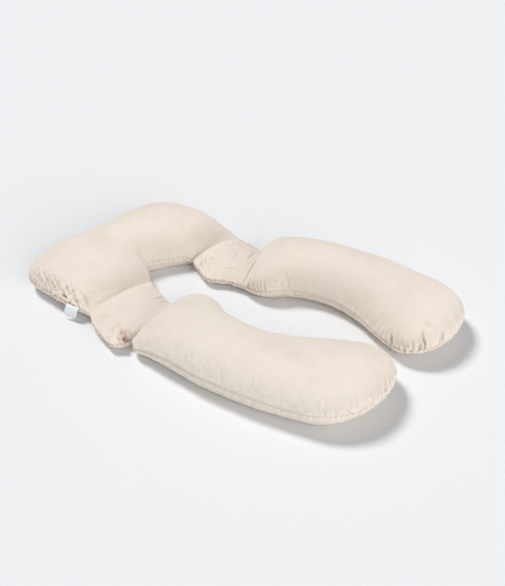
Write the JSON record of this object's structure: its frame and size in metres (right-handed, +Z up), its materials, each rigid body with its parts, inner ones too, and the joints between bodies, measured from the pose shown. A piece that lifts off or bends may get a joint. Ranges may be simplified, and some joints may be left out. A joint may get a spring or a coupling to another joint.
{
  "type": "body pillow",
  "caption": "Filled U-shaped body pillow lying flat: C-shaped head pad, thin slack hinge panels, curved padded arms and a small folded sewn-in label.",
  "frame": {"origin": "on the surface the pillow rests on, under the middle of its bounding box", "axes": "+X from the head pad to the arms' far ends, +Y towards the back arm, +Z up"},
  "size_m": [1.3066, 0.8594, 0.1586],
  "materials": {
    "jersey": "matt beige knitted jersey with fine pale dots, filled with fibre",
    "woven_label": "white woven tape, satin"
  },
  "bodies": {
    "root": {"head_pad": "jersey", "hinge_panel_front": "jersey", "hinge_panel_back": "jersey", "arm_front": "jersey", "arm_back": "jersey", "label": "woven_label"}
  },
  "joints": []
}
